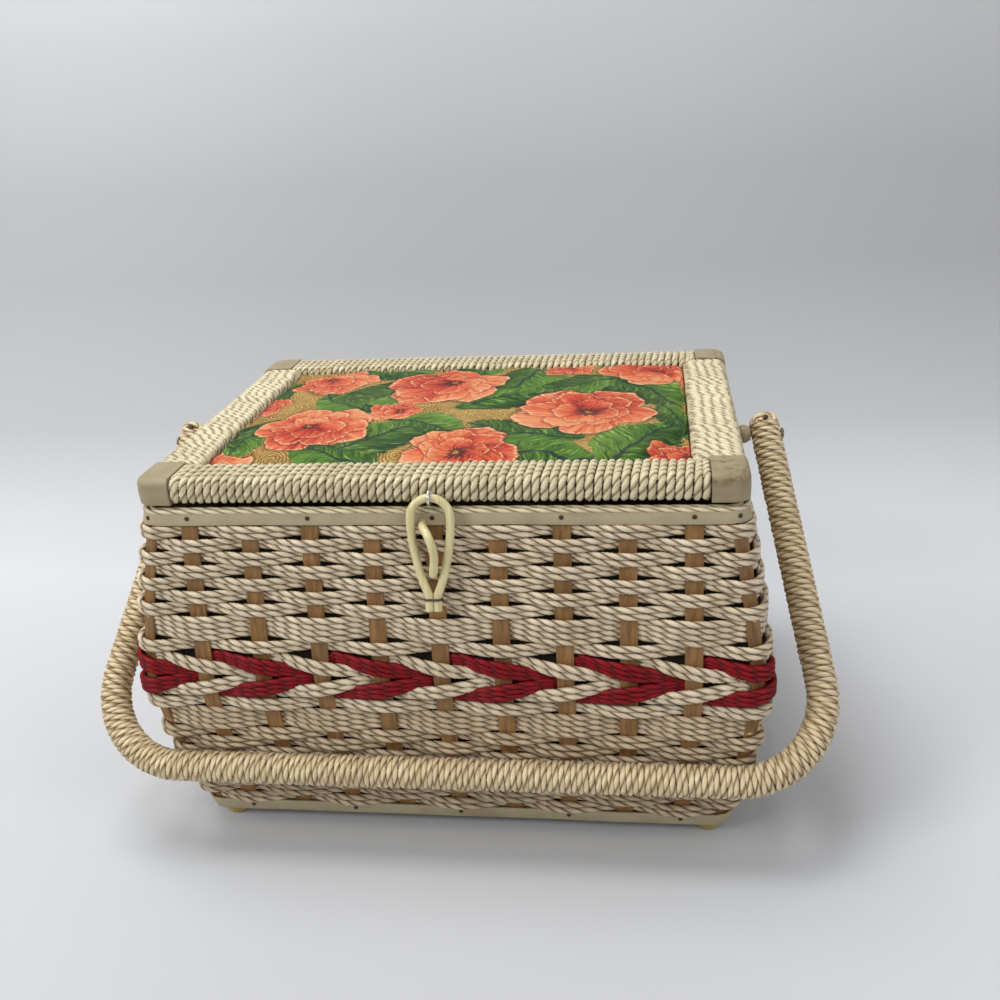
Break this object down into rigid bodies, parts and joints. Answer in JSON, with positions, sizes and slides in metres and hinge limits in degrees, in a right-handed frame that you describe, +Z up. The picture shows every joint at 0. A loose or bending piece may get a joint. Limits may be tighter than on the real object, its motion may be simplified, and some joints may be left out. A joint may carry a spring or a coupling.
{
  "type": "sewing basket",
  "caption": "Woven sewing basket with a padded floral lid, a cord-wound swing handle, a loop-and-peg latch and a red and cream chevron band.",
  "frame": {"origin": "on the floor, under the middle of the whole object's box with the lid closed and the handle at rest on the front wall", "axes": "+X to the right seen from the front, -Y to the front where the latch and the resting handle are, +Z up"},
  "size_m": [0.3863, 0.2619, 0.2067],
  "materials": {
    "cream_cord": "cream paper cord, soft sheen",
    "pale_cord": "pale yellow-cream cord of the lid's rails",
    "handle_cord": "warm cream cord wound round the handle, slight gloss",
    "red_cord": "deep red cord",
    "splint_wood": "brown stained splints, matt",
    "plain_board": "plain board, matt",
    "vinyl": "beige leather-grained vinyl",
    "lining_satin": "satin lining",
    "floral_fabric": "printed cotton over padding",
    "pale_cane": "smooth pale cane, light varnish",
    "steel_wire": "bright wire",
    "dark_thread": "dark binding thread",
    "foot_plastic": "amber plastic feet",
    "tan_plastic": "tan turned spacers"
  },
  "bodies": {
    "basket": {"base_board": "plain_board", "base_strip": "vinyl", "foot_front_left": "foot_plastic", "foot_front_right": "foot_plastic", "foot_rear_left": "foot_plastic", "foot_rear_right": "foot_plastic", "stake_frame": "splint_wood", "lining": "lining_satin", "rim_strip": "vinyl", "rim_cord": "cream_cord", "weave_row_01": "cream_cord", "weave_row_02": "cream_cord", "weave_row_03": "cream_cord", "weave_row_04": "cream_cord", "weave_row_05": "cream_cord", "weave_row_06": "cream_cord", "weave_row_07": "cream_cord", "weave_row_08": "cream_cord", "weave_row_09": "cream_cord", "weave_row_10": "cream_cord", "weave_row_11": "cream_cord", "weave_row_12": "cream_cord", "weave_row_13": "cream_cord", "weave_row_14": "cream_cord", "weave_row_15": "cream_cord", "weave_row_16": "cream_cord", "weave_row_17": "cream_cord", "weave_row_18": "cream_cord", "weave_row_19": "cream_cord", "chevron_upper_red": "red_cord", "chevron_upper_cream": "cream_cord", "chevron_lower_red": "red_cord", "chevron_lower_cream": "cream_cord", "latch_peg": "pale_cane", "handle_spacer_left": "tan_plastic", "handle_spacer_right": "tan_plastic", "pivot_screw_left": "steel_wire", "pivot_screw_right": "steel_wire", "hinge_eye_left": "steel_wire", "hinge_eye_right": "steel_wire"},
    "lid": {"lid_board": "plain_board", "lid_pad": "floral_fabric", "lid_lining": "lining_satin", "lid_rail_front": "pale_cord", "lid_rail_right": "pale_cord", "lid_rail_rear": "pale_cord", "lid_rail_left": "pale_cord", "lid_corner_front_left": "vinyl", "lid_corner_front_right": "vinyl", "lid_corner_rear_left": "vinyl", "lid_corner_rear_right": "vinyl", "hinge_loop_left": "steel_wire", "hinge_loop_right": "steel_wire", "latch_staple": "steel_wire"},
    "handle": {"handle": "handle_cord"},
    "latch_loop": {"latch_loop": "pale_cane", "latch_binding": "dark_thread"}
  },
  "joints": [
    {"name": "lid_hinge", "type": "hinge", "parent": "basket", "child": "lid", "pos_m": [0, 0.1196, 0.1915], "axis": [-1, 0, 0], "range_deg": [0, 105]},
    {"name": "handle_swing", "type": "hinge", "parent": "basket", "child": "handle", "pos_m": [0, 0.0052, 0.1865], "axis": [-1, 0, 0], "range_deg": [0, 270]},
    {"name": "latch_swing", "type": "hinge", "parent": "lid", "child": "latch_loop", "pos_m": [0, -0.1084, 0.197], "axis": [-1, 0, 0], "range_deg": [0, 110]}
  ]
}
